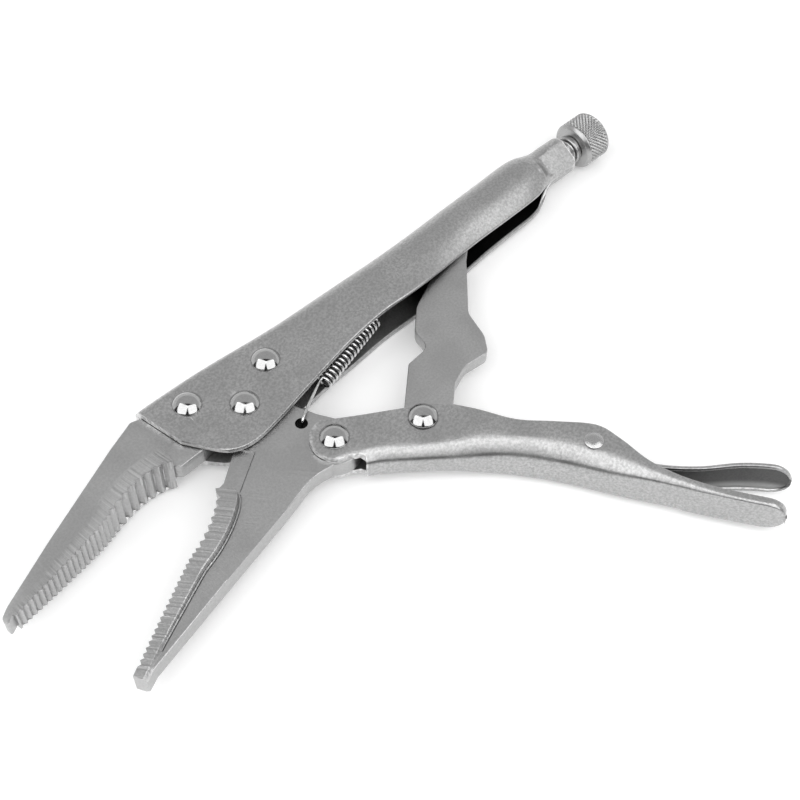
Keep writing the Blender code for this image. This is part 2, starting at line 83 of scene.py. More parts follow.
def place(node):
    """The centre of a CAD node, seen from above, in the design frame."""
    spot = (box_centre(node) - ORIGIN) / MM
    return (spot.x, spot.y)


# Places that the CAD frame gives.
JAW_PIVOT = (0.0, 0.0)
FRONT_RIVET = place("jaw_rivet_front")
REAR_RIVET = place("jaw_rivet_rear")
HANDLE_PIVOT = place("handle_pivot_rivet")
LINK_PIVOT = place("link_pivot_rivet")
LEVER_PIVOT = place("release_lever_pin")
SCREW_Y = place("adjusting_knob")[1]
KNOB_START = (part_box("adjusting_knob")[0].x - ORIGIN.x) / MM
KNOB_END = (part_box("adjusting_knob")[1].x - ORIGIN.x) / MM
SCREW_TIP = (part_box("adjusting_screw")[0].x - ORIGIN.x) / MM

# Thicknesses, radii and places of the other details.
JAW_HALF = 2.7
SHEET = 1.7
CHEEK_HALF = 4.7
LEVER_CHEEK_HALF = 6.75
HANDLE_HALF = 7.4
LINK_HALF = 2.2
LEVER_SHEET = 1.3
RIVET_SHANK = 2.3
RIVET_BORE = 2.6
RIVET_HEAD = 3.95
RIVET_DOME = 1.95
RIVET_TAIL_RADIUS = 3.4
RIVET_TAIL = 1.1
RIVET_GAP = 0.28
PIN_SHANK = 1.5
PIN_BORE = 1.8
PIN_HEAD = 2.45
PIN_DOME = 0.68
PIN_TAIL = 0.25
PIN_GAP = 0.3
THREAD_RADIUS = 3.6
THREAD_PITCH = 1.25
THREAD_DEPTH = 0.62
COLLAR_START = KNOB_START - 2.1
COLLAR_RADIUS = 4.4
COLLAR_GROOVE = 0.35
KNOB_RADIUS = 7.25
KNOB_RIM = 1.1
KNOB_RIM_DROP = 0.95
KNURL_RIDGES = 36
KNURL_DEPTH = 0.42
SPRING_HOLE = (7.4, -13.8)
SPRING_HOLE_RADIUS = 1.7
SPRING_TAB_HALF = 1.1
LINK_END = (87.3, 9.3)
COIL_START = (21.6, -6.0)
COIL_END = (46.8, 1.0)
COIL_RADIUS = 2.25
WIRE_RADIUS = 0.42
COIL_TURNS = 17

# How finely arcs are cut, and how far a cutter reaches either side of the middle.
ARC_STEP = math.radians(7.5)
CUT_HALF = 20

# Sections of folded sheet: the rounding of a cut edge, the sine of 45 degrees and what it leaves of 1, the
# curve of an edge that slopes in, and the half spacings at which an edge starts to curl and is curled up.
EDGE_POINTS = 5
EDGE_BULGE = 0.55
SIN_45 = 0.707
DROP_45 = 0.293
SLOPE_POWER = 1.6
SLOPED_EDGE = 3.0
CURLED_EDGE = 0.4


# ---- Materials ----


class Nodes:
    """Short calls for building a material's node tree."""

    def __init__(self, name):
        self.material = bpy.data.materials.new(name)
        self.material.use_nodes = True
        self.tree = self.material.node_tree
        self.shader = self.tree.nodes["Principled BSDF"]
        self.coords = self.tree.nodes.new("ShaderNodeTexCoord").outputs["Object"]

    def add(self, kind, settings=None, inputs=None):
        node = self.tree.nodes.new(kind)
        for key, value in (settings or {}).items():
            setattr(node, key, value)
        for key, value in (inputs or {}).items():
            if isinstance(value, bpy.types.NodeSocket):
                self.tree.links.new(value, node.inputs[key])
            else:
                node.inputs[key].default_value = value
        return node

    def noise(self, per_metre, detail=3.0, roughness=0.5):
        """Noise whose grains are about 1 / per_metre across."""
        inputs = {"Vector": self.coords, "Scale": per_metre, "Detail": detail, "Roughness": roughness}
        return self.add("ShaderNodeTexNoise", inputs=inputs).outputs["Fac"]

    def span(self, value, low, high, to_low=0.0, to_high=1.0):
        """value, taken smoothly from the range low to high over to the range to_low to to_high."""
        inputs = {"Value": value, "From Min": low, "From Max": high, "To Min": to_low, "To Max": to_high}
        node = self.add("ShaderNodeMapRange", {"interpolation_type": "SMOOTHSTEP"}, inputs)
        return node.outputs["Result"]

    def math(self, operation, first, second=0.0):
        return self.add("ShaderNodeMath", {"operation": operation}, {0: first, 1: second}).outputs[0]

    def mix(self, share, first, second):
        node = self.add("ShaderNodeMix", {"data_type": "RGBA"}, {"Factor": share, "A": first, "B": second})
        return node.outputs["Result"]

    def bump(self, height, distance, normal=None):
        inputs = {"Height": height, "Distance": distance, "Strength": 1.0}
        if normal:
            inputs["Normal"] = normal
        return self.add("ShaderNodeBump", inputs=inputs).outputs["Normal"]

    def along(self, direction):
        """How far each point lies along a direction, in metres."""
        inputs = {0: self.coords, 1: direction}
        return self.add("ShaderNodeVectorMath", {"operation": "DOT_PRODUCT"}, inputs).outputs["Value"]

    def set(self, **inputs):
        for key, value in inputs.items():
            socket = self.shader.inputs[key.replace("_", " ")]
            if isinstance(value, bpy.types.NodeSocket):
                self.tree.links.new(value, socket)
            else:
                socket.default_value = value
        return self.material


def grey(value):
    return (value, value, value, 1.0)


def metal(name, shade, roughness, grain, grain_size, contrast=0.35, wear_and_highlight=1.0, fade=None):
    """A metal with patches of other gloss and shade, lighter edges and a fine grain. Its convex edges are
    lightened in patches as far as the argument after contrast allows, partly as rubbed wear and partly as a
    painted highlight. grain is the grain's height in metres, grain_size its width in millimetres and
    contrast how dark its pits are. fade is (direction, start, end, shade): along that direction the metal
    goes over to that shade."""
    nodes = Nodes(name)
    patches = nodes.span(nodes.noise(90, 4), 0.35, 0.65)
    speckle = nodes.noise(1000 / grain_size, 2, 0.7)
    edges = nodes.add("ShaderNodeNewGeometry").outputs["Pointiness"]
    # Convex edges lightened in patches: partly rubbed wear, partly a painted highlight for bright rim
    # reflections.
    worn_and_highlit = nodes.math("MULTIPLY", nodes.span(edges, 0.525, 0.57), nodes.span(nodes.noise(700), 0.3, 0.6))
    body = nodes.mix(patches, grey(shade * 0.95), grey(shade * 1.04))
    body = nodes.mix(nodes.span(speckle, 0.3, 0.7, 0.0, contrast), body, grey(shade * 0.7))
    body = nodes.mix(nodes.math("MULTIPLY", worn_and_highlit, wear_and_highlight), body, grey(min(shade * 1.5, 0.9)))
    if fade:
        direction, start, end, far_shade = fade
        reach = nodes.math("SUBTRACT", nodes.along(direction), ORIGIN.dot(Vector(direction)))
        body = nodes.mix(nodes.span(reach, start * MM, end * MM), body, grey(far_shade))
    gloss = nodes.math("ADD", nodes.span(patches, 0.0, 1.0, roughness - 0.03, roughness + 0.03),
                       nodes.span(speckle, 0.3, 0.7, -0.03, 0.03))
    bumps = nodes.bump(speckle, grain)
    return nodes.set(Base_Color=body, Metallic=1.0, Roughness=gloss, Normal=bumps)


def ground_steel(name, shade, roughness, along, inward):
    """Satin forged steel with grinding streaks on the raised bar beside the jaw's teeth. along runs from
    the jaw's base to its nose, and inward from its teeth into the metal."""
    nodes = Nodes(name)
    speckle = nodes.noise(1500, 2, 0.7)
    patches = nodes.span(nodes.noise(70, 4), 0.35, 0.65)
    height = nodes.math("ABSOLUTE", nodes.math("SUBTRACT", nodes.along((0.0, 0.0, 1.0)), ORIGIN.z))
    ragged = nodes.math("ADD", height, nodes.span(nodes.noise(160, 2), 0.3, 0.7, -0.0002, 0.0002))
    mask = nodes.span(ragged, (JAW_HALF - 0.05) * MM, (JAW_HALF + 0.5) * MM)
    lean = nodes.math("MULTIPLY", nodes.along((*inward, 0.0)), 0.18)
    fan = nodes.math("ADD", nodes.along((*along, 0.0)), lean)
    streaks = nodes.add("ShaderNodeTexNoise", {"noise_dimensions": "1D"},
                        {"W": fan, "Scale": 1300.0, "Detail": 3.0, "Roughness": 0.65}).outputs["Fac"]
    streaks = nodes.math("MULTIPLY", nodes.math("SUBTRACT", streaks, 0.5), mask)
    body = nodes.mix(patches, grey(shade * 0.96), grey(shade * 1.03))
    body = nodes.mix(nodes.span(speckle, 0.3, 0.7, 0.0, 0.4), body, grey(shade * 0.72))
    body = nodes.mix(nodes.span(streaks, 0.0, 0.2, 0.0, 0.5), body, grey(shade * 0.6))
    body = nodes.mix(nodes.span(streaks, -0.2, 0.0, 0.45, 0.0), body, grey(min(shade * 1.35, 0.9)))
    gloss = nodes.math("ADD", nodes.span(patches, 0.0, 1.0, roughness - 0.03, roughness + 0.03),
                       nodes.math("MULTIPLY", mask, -0.04))
    bumps = nodes.bump(streaks, 0.00009, nodes.bump(speckle, 0.00008))
    return nodes.set(Base_Color=body, Metallic=1.0, Roughness=gloss, Normal=bumps)


# ---- Meshes ----


def make_object(name, bm, *materials):
    """An object of the mesh bm, taken from the design frame to the CAD frame."""
    bmesh.ops.recalc_face_normals(bm, faces=bm.faces)
    for vert in bm.verts:
        vert.co = vert.co * MM + ORIGIN
    mesh = bpy.data.meshes.new(name)
    bm.to_mesh(mesh)
    bm.free()
    for material in materials:
        mesh.materials.append(material)
    obj = bpy.data.objects.new(name, mesh)
    bpy.context.scene.collection.objects.link(obj)
    return obj


def combine(obj, changes):
    """Unites or cuts an object with meshes, each (operation, bmesh), and keeps the plain result."""
    helpers = []
    for operation, bm in changes:
        helper = make_object(obj.name + "_helper", bm, *obj.data.materials)
        modifier = obj.modifiers.new(operation, "BOOLEAN")
        modifier.operation = operation
        modifier.object = helper
        helpers.append(helper)
    graph = bpy.context.evaluated_depsgraph_get()
    result = bpy.data.meshes.new_from_object(obj.evaluated_get(graph))
    obj.modifiers.clear()
    obj.data = result
    for helper in helpers:
        bpy.data.objects.remove(helper)


def finish_piece(obj, body, node, sharp=32):
    obj.data.shade_smooth()
    obj.data.set_sharp_from_angle(angle=math.radians(sharp))
    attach(obj, body)
    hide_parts(node)
    return obj


def rounded(corners):
    """The outline of a polygon whose corners (x, y, radius) are rounded off with arcs."""
    points = []
    count = len(corners)
    for i, (x, y, radius) in enumerate(corners):
        here = Vector((x, y))
        before = (Vector(corners[i - 1][:2]) - here).normalized()
        after = (Vector(corners[(i + 1) % count][:2]) - here).normalized()
        half = before.angle(after) / 2
        if radius <= 0 or half > math.radians(88):
            points.append((x, y))
            continue
        centre = here + (before + after).normalized() * radius / math.sin(half)
        start = here + before * radius / math.tan(half) - centre
        turn = start.angle_signed(here + after * radius / math.tan(half) - centre)
        steps = max(2, math.ceil(abs(turn) / ARC_STEP))
        for k in range(steps + 1):
            angle = -turn * k / steps
            points.append((
                centre.x + start.x * math.cos(angle) - start.y * math.sin(angle),
                centre.y + start.x * math.sin(angle) + start.y * math.cos(angle),
            ))
    return points


def arc(centre, radius, start, end):
    """Outline corners on an arc between two angles in degrees."""
    steps = max(2, math.ceil(abs(end - start) / 6))
    corners = []
    for k in range(steps + 1):
        angle = math.radians(start + (end - start) * k / steps)
        corners.append((centre[0] + radius * math.cos(angle), centre[1] + radius * math.sin(angle), 0))
    return corners


def prism(outline, low, high, rim=0.0):
    """A plate of the given outline between two heights, with its rims rounded over."""
    bm = bmesh.new()
    base = bm.faces.new([bm.verts.new((x, y, low)) for x, y in outline])
    for vert in bmesh.ops.extrude_face_region(bm, geom=[base])["geom"]:
        if isinstance(vert, bmesh.types.BMVert):
            vert.co.z = high
    if rim:
        rims = [e for e in bm.edges if abs(e.verts[0].co.z - e.verts[1].co.z) < 1e-6]
        bmesh.ops.bevel(bm, geom=rims, offset=rim, segments=3, profile=0.5, affect="EDGES")
    return bm


def bores(*holes):
    """Cutters for upright round holes, each (centre, radius)."""
    cutters = []
    for centre, radius in holes:
        circle = [(x, y) for x, y, _ in arc(centre, radius, 0, 354)]
        cutters.append(("DIFFERENCE", prism(circle, -CUT_HALF, CUT_HALF)))
    return cutters


def share_between(value, low, high):
    """How far value is from low to high, held from 0 to 1."""
    return min(1.0, max(0.0, (value - low) / (high - low)))


def distances(rows):
    """How far each row's point lies along the line through all of them."""
    reach = [0.0]
    for a, b in zip(rows, rows[1:]):
        reach.append(reach[-1] + math.dist(a[:2], b[:2]))
    return reach


def smooth(stations, steps):
    """Catmull-Rom interpolation of the rows of a table, each row a tuple of numbers."""
    rows = []
    for i in range(len(stations) - 1):
        a, b = stations[max(i - 1, 0)], stations[i]
        c, d = stations[i + 1], stations[min(i + 2, len(stations) - 1)]
        for k in range(steps):
            t = k / steps
            rows.append(tuple(
                0.5 * (2 * q + (r - p) * t + (2 * p - 5 * q + 4 * r - s) * t**2
                       + (3 * q - p - 3 * r + s) * t**3)
                for p, q, r, s in zip(a, b, c, d)
            ))
    rows.append(tuple(float(v) for v in stations[-1]))
    return rows


def skin(rings):
    """A tube through rings of equally many points, and its rings of vertices."""
    bm = bmesh.new()
    loops = [[bm.verts.new(p) for p in ring] for ring in rings]
    count = len(loops[0])
    for near, far in zip(loops, loops[1:]):
        for k in range(count):
            bm.faces.new((near[k - 1], near[k], far[k], far[k - 1]))
    return bm, loops


def half_section(top, half_width, corner, depth, edge, curl, tight, closing):
    """Points (depth, z) of a channel's half section, from its free edge to its back. The bend's first 45
    degrees, from the cheek, have radius corner, and the rest corner * tight. closing goes from 0, where
    the free edge slopes in, to 1, where it curls right round."""
    room = depth - top
    tallest = 0.9 * room / (SIN_45 + DROP_45 * tight)
    widest = 0.97 * half_width / (DROP_45 + SIN_45 * tight)
    corner = min(corner, tallest, widest)
    back = SIN_45 * corner + DROP_45 * corner * tight
    curl = min(curl, 0.92 * room - back)
    points = []
    for k in range(9):
        share = math.sin(math.pi / 2 * (1 - k / 8))
        drop = (1 - closing) * share**SLOPE_POWER + closing * (1 - math.sqrt(1 - share**2))
        points.append((depth - curl + curl * share, half_width - (half_width - edge) * drop))
    for k in (1, 2, 3):
        share = k / 4
        points.append(((depth - curl) * (1 - share) + (top + back) * share, half_width))
    for k in range(8):
        angle = math.radians(45 * k / 7)
        points.append((top + back - corner * math.sin(angle), half_width - corner * (1 - math.cos(angle))))
    radius = corner * tight
    low = half_width - DROP_45 * corner - SIN_45 * radius
    for k in range(1, 7):
        angle = math.radians(45 + 45 * k / 6)
        points.append((top + radius * (1 - math.sin(angle)), low + radius * math.cos(angle)))
    return points


def edge_round(first, second, beyond, bulge):
    """Points that round a sheet's cut edge from first to second. beyond is a point further back."""
    a, b, back = Vector(first), Vector(second), Vector(beyond)
    middle, arm = (a + b) / 2, (a - b) / 2
    out = (a - back).normalized() * arm.length * bulge
    points = []
    for k in range(1, EDGE_POINTS + 1):
        angle = math.pi * k / (EDGE_POINTS + 1)
        spot = middle + arm * math.cos(angle) + out * math.sin(angle)
        points.append((spot.x, spot.y))
    return points


def sheet_ring(width, corner, depth, edge, curl, sheet, tight, far, gape):
    """A folded sheet's section: along its outside from one free edge to the other, and back inside. The
    bend on the far side, at -Z, is no larger than far, and where the sheet curls in, its far edge stands
    out by gape. Also gives the number of points outside."""
    closing = share_between(edge, SLOPED_EDGE, CURLED_EDGE)
    gape *= share_between(width - edge, 0.0, 3.0) * share_between(edge, 1.6, 3.6)

    def wall(bend, tightness, reach, rim, inset):
        lean = (1 - closing) * math.atan2(SLOPE_POWER * (width - rim), curl) + closing * math.pi / 2
        deeper, inward = inset * math.sin(lean), inset * math.cos(lean)
        return half_section(
            inset, width - inset, max(bend - inset, 0.3), reach - deeper,
            rim - inward, max(curl - deeper, 0.2), tightness, closing,
        )

    near = (corner, tight, depth, edge)
    far_tight = 1.0 if far < corner else tight
    away = (min(corner, far), far_tight, depth + 0.2 * gape, min(edge + gape, width))
    outer, inner = wall(*near, 0.0), wall(*near, sheet)
    far_outer, far_inner = wall(*away, 0.0), wall(*away, sheet)
    round_off = edge_round(outer[0], inner[0], outer[1], EDGE_BULGE)
    far_round_off = edge_round(far_outer[0], far_inner[0], far_outer[1], EDGE_BULGE)
    outside = outer + [(d, -z) for d, z in reversed(far_outer)]
    inside = inner + [(d, -z) for d, z in reversed(far_inner)]
    ring = outside + [(d, -z) for d, z in far_round_off] + inside[::-1] + round_off[::-1]
    return ring, len(outside)


def round_tip(rows, radius):
    """Narrows a channel's last stretch so that its end is round, seen from its back."""
    reach = distances(rows[::-1])
    tipped = []
    for row, gone in zip(rows, reach[::-1]):
        share = 1.0 if gone >= radius else math.sqrt(max(1 - (1 - gone / radius) ** 2, 0.004))
        tipped.append((*row[:4], row[4] * share, row[5], row[6] * share, row[7]))
    return tipped


def channel(rows, sheet, tight=1.0, far=99.0, gape=0.0, press=None):
    """A folded sheet through rows such as UPPER_STATIONS. press moves its outside points, half_section
    explains tight, sheet_ring explains far and gape, and the faces inside get material 1."""
    rings = []
    for back_x, back_y, edge_x, edge_y, width, corner, edge, curl in rows:
        back = Vector((back_x, back_y))
        line = Vector((edge_x, edge_y)) - back
        down = line.normalized()
        half = min(width, HANDLE_HALF)
        section, outside = sheet_ring(
            half, corner, line.length, min(edge, half), curl, sheet, tight, far, gape)
        ring = []
        for i, (d, z) in enumerate(section):
            spot = Vector((*(back + down * d), z))
            ring.append(press(spot) if press and i < outside else spot)
        rings.append(ring)
    bm, loops = skin(rings)
    count = len(loops[0])
    for i, face in enumerate(bm.faces):
        face.material_index = int(outside + EDGE_POINTS < i % count < count - EDGE_POINTS)
    for loop in (loops[0], loops[-1]):
        outer = loop[:outside]
        inner = loop[outside + EDGE_POINTS:count - EDGE_POINTS][::-1]
        for k in range(outside - 1):
            bm.faces.new((outer[k], outer[k + 1], inner[k + 1], inner[k]))
        bm.faces.new([outer[-1], *loop[outside:outside + EDGE_POINTS], inner[-1]])
        bm.faces.new([inner[0], *loop[count - EDGE_POINTS:], outer[0]])
    return bm


def turned(profile, centre, sides):
    """A closed upright turned body. The profile's points (radius, height) start and end on its axis."""
    bm = bmesh.new()
    rings = []
    for radius, height in profile:
        ring = []
        for k in range(sides if radius > 0 else 1):
            angle = 2 * math.pi * k / sides
            across = (centre[0] + radius * math.cos(angle), centre[1] + radius * math.sin(angle))
            ring.append(bm.verts.new((*across, height)))
        rings.append(ring)
    for near, far in zip(rings, rings[1:]):
        for k in range(sides):
            corners = [near[k % len(near)], near[(k + 1) % len(near)],
                       far[(k + 1) % len(far)], far[k % len(far)]]
            bm.faces.new(list(dict.fromkeys(corners)))
    return bm


def carved(radius_at, heights, sides):
    """A body round the screw's axis. Its radius is radius_at(height, turn), with turn from 0 to 1."""
    rings = []
    for height in heights:
        ring = []
        for k in range(sides):
            angle = 2 * math.pi * k / sides
            radius = radius_at(height, k / sides)
            ring.append((height, SCREW_Y + radius * math.cos(angle), radius * math.sin(angle)))
        rings.append(ring)
    bm, loops = skin(rings)
    bm.faces.new(loops[0])
    bm.faces.new(loops[-1])
    return bm


# ---- Jaws ----

FIXED_TIPS = [
    (-25.4, -2.5, 5.9), (-29.0, -1.4, 5.9), (-33.3, -1.1, 5.8), (-38.0, -1.6, 5.6), (-42.4, -2.7, 5.4),
    (-46.5, -4.1, 5.1), (-50.4, -5.3, 4.9), (-57.5, -6.8, 4.4), (-67.5, -8.6, 3.8), (-78.2, -10.4, 3.2),
]
MOVING_TIPS = [
    (-21.3, -13.9, 5.3), (-23.6, -17.6, 5.3), (-27.0, -20.5, 5.2), (-31.0, -23.0, 5.0), (-35.2, -25.0, 4.8),
    (-39.6, -26.6, 4.6), (-44.0, -28.8, 4.35), (-49.4, -31.6, 4.1), (-58.0, -36.1, 3.7), (-67.5, -41.3, 3.3),
]
COARSE = 2.55
FINE = 1.62
FIXED_PITCHES = [COARSE] * 8 + [FINE] * 20
MOVING_PITCHES = [COARSE * 0.92] * 8 + [FINE] * 20
TOOTH = 0.42
NECK_RELIEF = [(-13.0, -4.4, 0), (-7.1, -12.6, 0), (-17.8, -19.4, 0), (-24.0, -14.5, 0)]
RELIEF_DEPTH = 0.5
RELIEF_SLIT = [(-6.9, -12.7, 0), (-7.2, -12.3, 0), (-17.9, -19.1, 0), (-17.6, -19.5, 0)]
SLIT_DEPTH = 0.9
GROOVE_DEPTH = 0.7
GROOVE_NEAR = -0.05
GROOVE_AWAY = 0.3


def toothed_bar(tips, pitches, side, section):
    """A jaw's gripping bar. tips holds (x, y, half width) along the tips of its teeth, side is +1 or -1
    for the side of that line on which the metal lies, and section(share, half) gives the section's points
    (depth, z) on the upper half, for a share of the way from the base to the nose's end."""
    rows = smooth(tips, 12)
    reach = distances(rows)
    stops = [(0.0, 0.0)]
    root = 0.0
    for pitch in pitches:
        stops += [(root + 0.44 * pitch, 0.0), (root + 0.56 * pitch, 0.0), (root + pitch, TOOTH * pitch)]
        root += pitch
    stops += [(root + 0.5 * pitches[-1], 0.0), (reach[-1], 0.0)]
    rings = []
    for stop, cut in stops:
        i = min(max(k for k, r in enumerate(reach) if r <= stop + 1e-6), len(rows) - 2)
        share = (stop - reach[i]) / (reach[i + 1] - reach[i])
        x, y, half = (a + (b - a) * share for a, b in zip(rows[i], rows[i + 1]))
        along = (Vector(rows[i + 1][:2]) - Vector(rows[i][:2])).normalized()
        inward = Vector((-along.y, along.x)) * side
        upper = section(stop / reach[-1], half)
        upper[0] = (cut, upper[0][1])
        both = upper + [(d, -z) for d, z in reversed(upper)]
        rings.append([(x + inward.x * d, y + inward.y * d, z) for d, z in both])
    bm, loops = skin(rings)
    bm.faces.new(loops[0])
    bm.faces.new(loops[-1])
    return bm


def inner_line(tips, side, distance):
    """Outline corners along the tooth line, moved a distance into the metal."""
    points = []
    for i, (x, y, _) in enumerate(tips):
        ahead, behind = tips[min(i + 1, len(tips) - 1)], tips[max(i - 1, 0)]
        along = Vector((ahead[0] - behind[0], ahead[1] - behind[1])).normalized()
        points.append((x - along.y * side * distance, y + along.x * side * distance, 0))
    return points


def fixed_bar_section(share, half):
    """The bar narrows in a slightly hollow slope from its teeth into the plate."""
    reach = 7.5 - 4.3 * share
    hollow = half - 0.62 * (half - JAW_HALF)
    return [(0.0, half), (0.45, half), (0.55 * reach, hollow), (reach, JAW_HALF - 0.1)]


def moving_bar_section(share, half):
    """The bar is a flat ledge with a steep step down to the plate, and a round corner at its base."""
    corner = math.sqrt(1 - max(0.0, 1 - (share + 0.011) / 0.107) ** 2)
    ledge = (5.4 - 2.8 * share) * corner
    foot = ledge + 0.75 - 0.2 * share
    return [(0.0, half), (ledge - 0.25, half), (ledge, half - 0.2), (foot - 0.3, JAW_HALF + 0.25),
            (foot, JAW_HALF), (foot + 0.4, JAW_HALF - 0.25)]


def foot_groove():
    """The outline of a narrow crease along the foot of the moving jaw's bar, the section's last but one
    point."""
    rows = smooth(MOVING_TIPS, 4)
    reach = distances(rows)
    near, away = [], []
    for i in range(3, len(rows) - 3):
        along = (Vector(rows[i + 1][:2]) - Vector(rows[i - 1][:2])).normalized()
        inward = Vector((-along.y, along.x))
        foot = moving_bar_section(reach[i] / reach[-1], 0.0)[-2][0]
        near.append((*(Vector(rows[i][:2]) + inward * (foot + GROOVE_NEAR)), 0))
        away.append((*(Vector(rows[i][:2]) + inward * (foot + GROOVE_AWAY)), 0))
    return near + away[::-1]


def fixed_jaw(material):
    outline = rounded([
        (-23.6, -3.2, 0.6), (-16.5, -2.95, 2), *arc(JAW_PIVOT, 7.5, 190, 20),
        (12.5, 1.2, 2), (19.6, 3.4, 3), (19.6, 13.4, 3), (-20.8, 15.3, 0.6), (-24.9, 16.6, 1.6),
        (-33.8, 13.0, 12), (-60.3, 1.6, 0), (-78.4, -6.6, 6), (-81.0, -8.4, 1.4), (-80.9, -10.9, 0.5),
        *inner_line(FIXED_TIPS, -1, 1.0)[::-1],
    ])
    jaw = make_object("jaw_fixed", prism(outline, -JAW_HALF, JAW_HALF, 0.35), material)
    bar = toothed_bar(FIXED_TIPS, FIXED_PITCHES, -1, fixed_bar_section)
    combine(jaw, [("UNION", bar), *bores((FRONT_RIVET, RIVET_BORE), (REAR_RIVET, RIVET_BORE))])
    return finish_piece(jaw, "upper_handle", "fixed_jaw", 22)


def moving_jaw(material, shadowed):
    outline = rounded([
        (-64.4, -43.3, 0.4), (-35.8, -36.4, 0), (-12.0, -30.9, 30), (-1.0, -28.0, 16), (3.6, -28.9, 3),
        *arc(HANDLE_PIVOT, 7.2, 225, 400), (12.4, -14.2, 3), (9.9, -8.2, 3), (7.4, -4.6, 2),
        *arc(JAW_PIVOT, 7.0, -20, 216), (-11.6, -9.0, 0), (-18.9, -14.2, 0),
        *inner_line(MOVING_TIPS, 1, 1.0),
    ])
    jaw = make_object("jaw_moving", prism(outline, -JAW_HALF, JAW_HALF, 0.35), material, shadowed)
    changes = [("UNION", toothed_bar(MOVING_TIPS, MOVING_PITCHES, 1, moving_bar_section))]
    hollows = ((NECK_RELIEF, RELIEF_DEPTH), (RELIEF_SLIT, SLIT_DEPTH), (foot_groove(), GROOVE_DEPTH))
    for side in (-1, 1):
        for shape, depth in hollows:
            low, high = sorted((side * (JAW_HALF - depth), side * 2 * JAW_HALF))
            changes.append(("DIFFERENCE", prism(rounded(shape), low, high)))
    changes += bores((JAW_PIVOT, RIVET_BORE), (HANDLE_PIVOT, RIVET_BORE), (SPRING_HOLE, SPRING_HOLE_RADIUS))
    combine(jaw, changes)
    # The spring hole's wall takes the second material, a near-black painted shadow for the shade down the
    # bore.
    hole = Vector((*SPRING_HOLE, 0.0)) * MM + ORIGIN
    for face in jaw.data.polygons:
        face.material_index = int((face.center - hole).xy.length < SPRING_HOLE_RADIUS * MM * 1.02)
    return finish_piece(jaw, "moving_jaw", "moving_jaw", 22)


# ---- Folded sheet parts ----

# Each row holds the back's x and y, the free edge's x and y, the half width outside, the bend's radius,
# the free edge's half spacing and how deep its inward curl is.
UPPER_STATIONS = [
    (-22.4, 17.4, -19.5, 2.0, 4.7, 2.5, 4.7, 0.4),
    (-18.6, 17.6, -16.6, -2.5, 4.7, 2.6, 4.7, 0.4),
    (-13.0, 17.6, -12.1, -8.4, 4.7, 2.7, 4.7, 0.4),
    (-5.0, 17.5, -5.7, -10.5, 4.7, 2.8, 4.7, 0.4),
    (4.0, 17.1, 3.3, -9.4, 4.7, 3.0, 4.7, 0.4),
    (13.0, 16.4, 12.5, -7.4, 4.75, 3.2, 4.75, 0.4),
    (23.0, 15.7, 23.0, -5.5, 5.5, 4.2, 5.5, 0.5),
    (35.0, 15.2, 35.0, -3.9, 6.9, 5.6, 6.7, 3.0),
    (47.0, 14.9, 47.0, -2.6, 7.4, 6.0, 6.6, 7.0),
    (59.0, 14.7, 59.0, -2.4, 7.4, 6.0, 5.8, 9.0),
    (72.0, 14.9, 72.0, -1.4, 7.4, 6.0, 4.6, 10.0),
    (86.0, 15.6, 86.0, -0.2, 7.4, 6.2, 3.6, 10.5),
    (100.0, 16.2, 100.0, 0.2, 7.4, 6.4, 3.3, 10.8),
    (111.0, 16.8, 111.0, 0.6, 7.4, 6.6, 3.2, 10.8),
    (116.0, 16.7, 116.0, 1.6, 7.1, 6.6, 2.6, 9.0),
    (119.5, 15.9, 119.5, 2.9, 6.2, 6.0, 1.4, 4.6),
    (122.5, 15.2, 122.5, 3.8, 5.6, 5.5, 0.4, 5.3),
    (127.0, 15.2, 127.0, 3.8, 5.65, 5.5, 0.25, 5.3),
    (132.6, 15.1, 132.6, 3.9, 5.6, 5.5, 0.25, 5.3),
]
LOWER_STATIONS = [
    (-1.2, -29.4, 6.0, -14.5, 4.7, 7.0, 4.7, 0.4),
    (11.8, -35.0, 17.2, -22.0, 4.7, 7.0, 4.7, 0.4),
    (20.2, -41.3, 27.2, -28.2, 4.7, 7.2, 4.7, 0.4),
    (28.0, -47.7, 36.6, -34.4, 4.9, 7.6, 4.9, 0.4),
    (33.6, -52.6, 41.8, -42.4, 5.9, 9.0, 5.9, 0.4),
    (39.3, -58.2, 46.8, -52.4, 6.6, 9.0, 6.6, 0.4),
    (44.4, -64.6, 54.0, -60.2, 6.75, 9.5, 6.75, 0.4),
    (49.4, -72.0, 60.6, -67.8, 6.75, 9.5, 6.75, 0.4),
    (53.6, -79.2, 61.9, -75.0, 6.75, 8.5, 6.75, 0.4),
    (58.0, -86.4, 62.2, -83.8, 6.6, 5.5, 6.6, 0.4),
    (62.0, -93.0, 64.4, -91.4, 6.2, 3.0, 6.2, 0.3),
    (66.0, -99.6, 67.9, -98.4, 5.7, 1.8, 5.7, 0.3),
    (70.2, -106.1, 72.0, -104.9, 5.4, 1.2, 5.4, 0.3),
    (73.8, -111.5, 75.6, -110.3, 5.3, 1.2, 5.3, 0.3),
    (76.2, -115.1, 78.0, -113.9, 5.3, 1.2, 5.3, 0.3),
    (77.6, -117.15, 79.4, -115.95, 5.3, 1.0, 5.3, 0.3),
]
